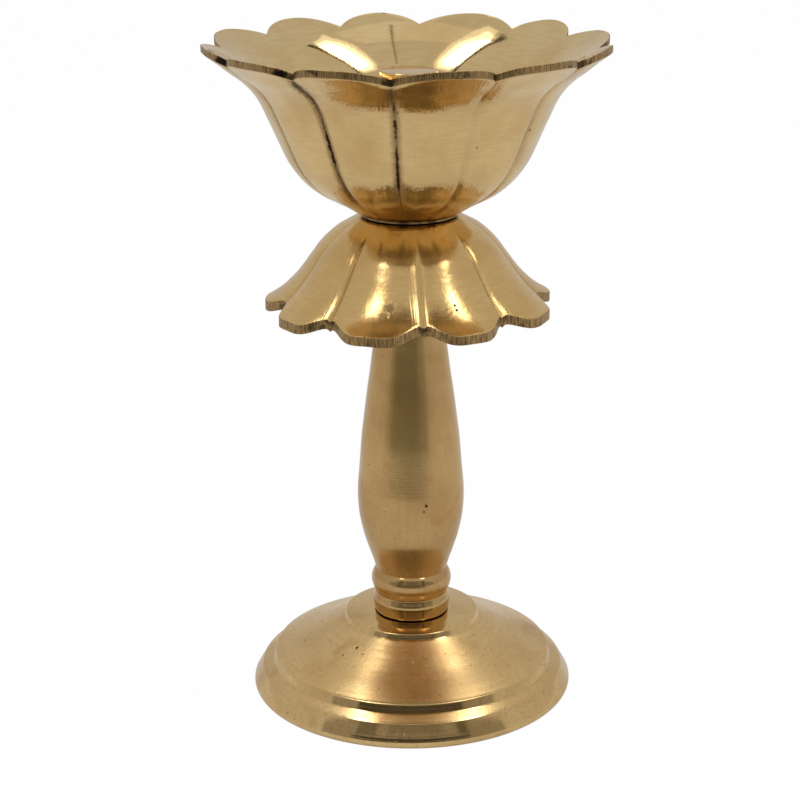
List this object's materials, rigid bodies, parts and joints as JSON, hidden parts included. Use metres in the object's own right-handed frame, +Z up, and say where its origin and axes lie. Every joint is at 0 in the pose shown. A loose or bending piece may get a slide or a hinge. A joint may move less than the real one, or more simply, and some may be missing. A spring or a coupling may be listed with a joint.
{
  "type": "lotus oil lamp",
  "caption": "Brass oil lamp with an open petal bowl round a wick post, a drooping petal skirt, a slim turned stem and a domed round foot.",
  "frame": {"origin": "centre of the foot's ring, on the surface that the lamp stands on", "axes": "+Z up along the lamp's axis, -Y towards the viewer of the picture"},
  "size_m": [0.0874, 0.0875, 0.15],
  "materials": {
    "turned_brass": "turned and lightly polished",
    "polished_brass": "buffed bright, sawn edges left dull",
    "cast_brass": "cast, buffed, with rough seams left in the valleys",
    "steel_fixings": "zinc plated",
    "fibre": "pressed fibre washer"
  },
  "bodies": {
    "stand": {"foot": "turned_brass", "foot_washer": "steel_fixings", "foot_screw": "steel_fixings", "stem": "turned_brass", "petal_skirt": "polished_brass"},
    "seal": {"oil_seal": "fibre"},
    "bowl_unit": {"bowl": "cast_brass", "wick_post": "polished_brass", "tie_stud": "steel_fixings"}
  },
  "joints": [
    {"name": "seal_rise", "type": "slide", "parent": "stand", "child": "seal", "axis": [0, 0, 1], "range_m": [0, 0.0101]},
    {"name": "bowl_turn", "type": "hinge", "parent": "seal", "child": "bowl_unit", "pos_m": [0, 0, 0.12], "axis": [0, 0, 1], "range_deg": [0, 2880]}
  ],
  "couplings": [
    {"joint": "seal_rise", "follows": "bowl_turn", "m_per_rad": 0.00019894}
  ]
}
